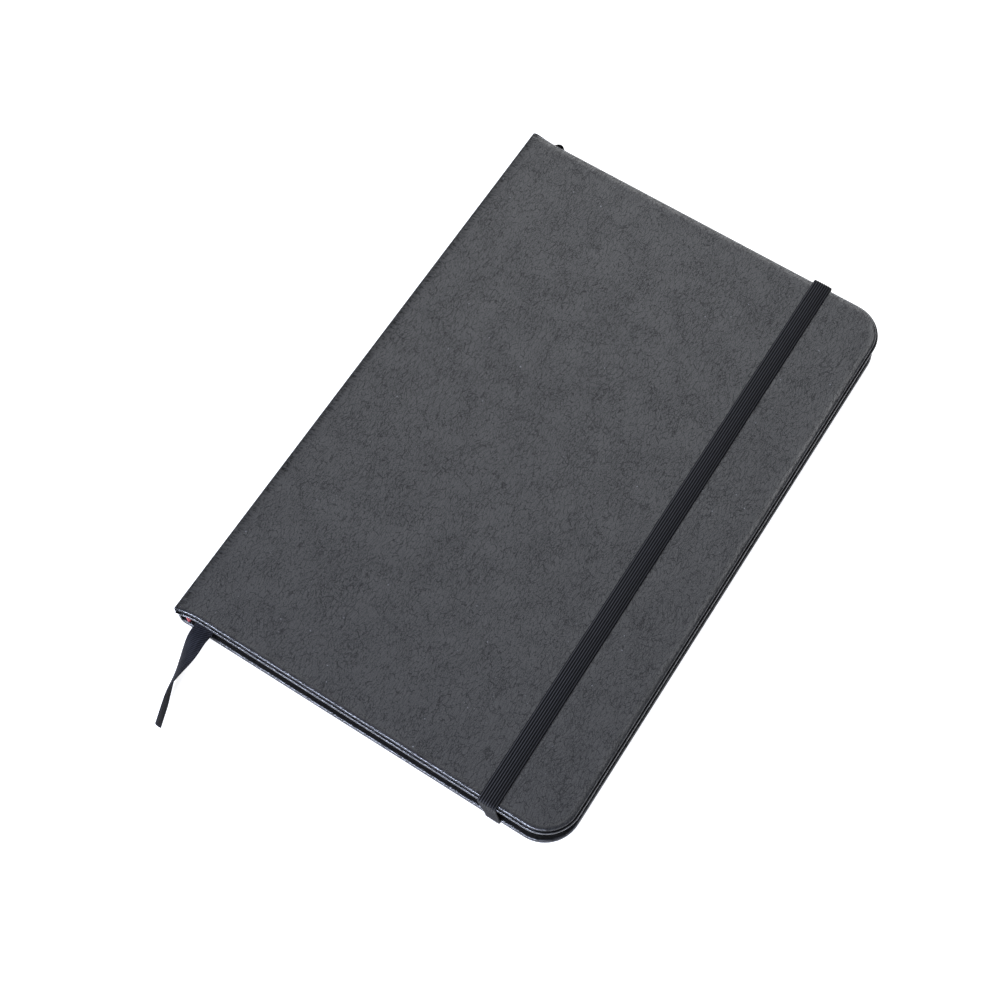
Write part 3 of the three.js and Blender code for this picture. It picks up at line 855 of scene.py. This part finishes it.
def signature_leaves(node, body, material, rng):
    """A signature's leaves: nested folded sheets, cut a little unevenly at the fore edge."""
    low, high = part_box(node)
    x0, x1 = low.x / MM - SPINE_X, high.x / MM - SPINE_X
    half = high.y / MM
    z0, z1 = low.z / MM, high.z / MM
    pitch = (z1 - z0) / LEAVES
    points, faces = [], []
    for leaf in range(LEAVES):
        nest = min(leaf, LEAVES - 1 - leaf)
        trim = rng.uniform(0, LEAF_TRIM)
        outline = leaf_outline(x0 + pitch * (nest + 0.5), x1 - trim, half - rng.uniform(0, LEAF_TRIM_SIDE))
        bottom = z0 + pitch * leaf + LEAF_GAP
        top = z0 + pitch * (leaf + 1) - LEAF_GAP
        add_prism(points, faces, [(x, y, bottom) for x, y in outline], [(x, y, top) for x, y in outline])

    # The folds at the back, a little thinner than the leaves' pitch so that they don't touch
    centre, middle = x0 + (z1 - z0) / 2, (z0 + z1) / 2
    turns = np.linspace(math.pi / 2, 1.5 * math.pi, 9)
    for nest in range(LEAVES // 2):
        radius = (z1 - z0) / 2 - pitch * nest
        outer, inner = radius * 0.98, radius - pitch * 0.8
        ring = [(centre + outer * math.cos(t), middle + outer * math.sin(t)) for t in turns]
        ring += [(centre + inner * math.cos(t), middle + inner * math.sin(t)) for t in turns[::-1]]
        add_prism(points, faces, [(x, half, z) for x, z in ring], [(x, -half, z) for x, z in ring])
    piece = mesh_object(node + "_leaves", points, faces, smooth=False)
    finish_piece(piece, material, body=body, replaces=[node])


def end_band(name, node, side, material):
    """A silk-wrapped bead at the end of the block's back, on its tape."""
    low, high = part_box(node)
    x = high.x / MM - SPINE_X - BEAD_RADIUS
    y = side * max(abs(low.y), abs(high.y)) / MM - side * BEAD_RADIUS
    z0, z1 = low.z / MM, high.z / MM
    rows, columns = 90, 16
    turns = np.linspace(0, 2 * math.pi, columns, endpoint=False)
    points = []
    for z in np.linspace(z0, z1, rows):
        ridge = BEAD_RADIUS * (0.9 + 0.1 * abs(math.sin((z - z0) * math.pi / BEAD_PITCH)))
        points += [(x + ridge * math.cos(t), y + ridge * math.sin(t), z) for t in turns]
    faces = ring_faces(rows, columns) + end_faces(rows, columns)
    tape_x = low.x / MM - SPINE_X
    near_x, inner_y = tape_x + TAPE_THICKNESS, y - side * TAPE_LENGTH
    tape = [(tape_x, inner_y), (tape_x, y), (near_x, y), (near_x, inner_y)]
    add_prism(points, faces, [(a, b, z0) for a, b in tape], [(a, b, z1) for a, b in tape])
    finish_piece(mesh_object(name, points, faces), material, body="book", replaces=[node])


def give(nodes, material):
    """Gives the pieces that keep their CAD shapes a material."""
    for node in nodes:
        mesh = frame["nodes"][node].data
        mesh.materials.clear()
        mesh.materials.append(material)


# ------------------------------------------------------------------------------- floor, light and camera


def stage_floor():
    """A white floor just under the book."""
    z = cad_box[0].z - FLOOR_GAP
    a = FLOOR_REACH
    mesh = bpy.data.meshes.new("floor")
    mesh.from_pydata([(-a, -a, z), (a, -a, z), (a, a, z), (-a, a, z)], [], [(0, 1, 2, 3)])
    material, _, shader = new_material("white_floor", Roughness=0.6, Specular_IOR_Level=0.1)
    shader.inputs["Base Color"].default_value = (0.9, 0.9, 0.9, 1)
    shader.inputs["Emission Color"].default_value = (1, 1, 1, 1)
    shader.inputs["Emission Strength"].default_value = FLOOR_GLOW
    mesh.materials.append(material)
    linked("floor", mesh)


def softbox(name, azimuth, elevation, distance, size, power, colour):
    """An area light aimed at the book."""
    light = bpy.data.lights.new(name, "AREA")
    light.shape = "RECTANGLE"
    light.size, light.size_y = size
    light.energy = power
    light.color = colour
    a, e = math.radians(azimuth), math.radians(elevation)
    direction = Vector((math.sin(a) * math.cos(e), math.cos(a) * math.cos(e), math.sin(e)))
    made = linked(name, light)
    made.location = direction * distance
    made.rotation_euler = direction.to_track_quat("Z", "Y").to_euler()


def studio_light():
    """The world's soft light and the softboxes."""
    world = bpy.data.worlds.new("studio")
    bpy.context.scene.world = world
    world.use_nodes = True
    background = world.node_tree.nodes["Background"]
    background.inputs["Color"].default_value = WORLD_COLOUR
    background.inputs["Strength"].default_value = WORLD_STRENGTH
    for box in SOFTBOXES:
        softbox(*box)


def camera():
    """The camera looks down past the tail and the fore edge."""
    data = bpy.data.cameras.new("camera")
    data.sensor_width = SENSOR_WIDTH
    data.lens = CAMERA_LENS
    data.clip_start = 0.01
    right, forward = Vector(CAMERA_RIGHT), Vector(CAMERA_FORWARD)
    turn = Matrix((right, right.cross(forward), -forward)).transposed()
    made = linked("camera", data)
    made.matrix_world = Matrix.Translation(CAMERA_PLACE) @ turn.to_4x4()
    bpy.context.scene.camera = made
    bpy.context.scene.view_settings.view_transform = "Standard"


def main():
    camera()
    studio_light()
    stage_floor()
    satin = satin_ribbon()
    ribbon_tail(satin)
    ribbon_head(satin)
    cover_leather(leatherette())
    elastic_band(elastic_weave())

    drawing_paper = paper("drawing_paper", (0.66, 0.62, 0.53, 1), 0.03)
    rng = np.random.default_rng(SEED)
    for number in range(1, SIGNATURES + 1):
        body = "first_signature" if number == 1 else "book"
        signature_leaves(f"signature_{number}", body, drawing_paper, rng)
    red_silk = woven("red_silk", (0.42, 0.02, 0.03, 1), (0.2, 0.01, 0.015, 1), BEAD_PITCH, 0.5)
    end_band("headband_silk", "headband", 1, red_silk)
    end_band("tailband_silk", "tailband", -1, red_silk)

    give(["front_board", "back_board", "spine_liner"], greyboard())
    endpapers = ["front_pastedown", "back_pastedown", "front_flyleaf", "back_flyleaf"]
    give(endpapers, paper("endpaper", (0.58, 0.54, 0.45, 1), 0.02))
    give(["mull"], woven("bookcloth", (0.74, 0.71, 0.63, 1), (0.45, 0.42, 0.36, 1), 0.9, 0.9))
    linen = woven("linen_thread", (0.82, 0.78, 0.68, 1), (0.5, 0.47, 0.4, 1), 0.3, 0.8)
    give([f"sewing_thread_{i}" for i in range(1, THREADS + 1)], linen)
    give(["ribbon_inner"], satin)


main()
